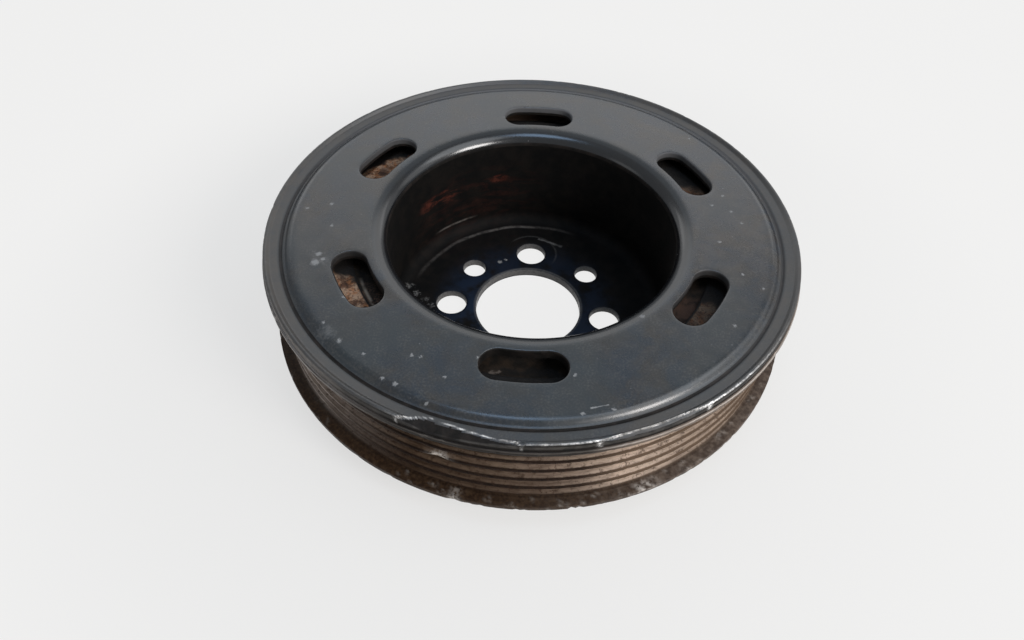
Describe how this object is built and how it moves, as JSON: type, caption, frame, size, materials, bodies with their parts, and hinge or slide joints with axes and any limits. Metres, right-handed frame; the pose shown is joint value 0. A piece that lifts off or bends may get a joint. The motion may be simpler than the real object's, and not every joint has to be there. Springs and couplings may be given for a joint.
{
  "type": "harmonic balancer",
  "caption": "Crankshaft pulley with a V-grooved belt rim, a deep pressed hub with a bolted floor and oval windows, and a rubber-mounted iron ring inside.",
  "frame": {"origin": "centre of the bore at the rear face of the hub's floor, which is clamped to the crankshaft", "axes": "+Z along the crankshaft axis towards the front of the engine, +Y through one bolt hole"},
  "size_m": [0.14, 0.14, 0.035],
  "materials": {
    "black_paint": "satin black paint, worn at the rim",
    "rusty_steel": "bare steel with brown rust in the grooves",
    "rusty_iron": "bare cast iron with tan rust",
    "rubber": "matt black, dusty"
  },
  "bodies": {
    "root": {"hub_shell": "black_paint", "belt_rim": "rusty_steel", "inertia_ring": "rusty_iron", "rubber_ring": "rubber"}
  },
  "joints": []
}
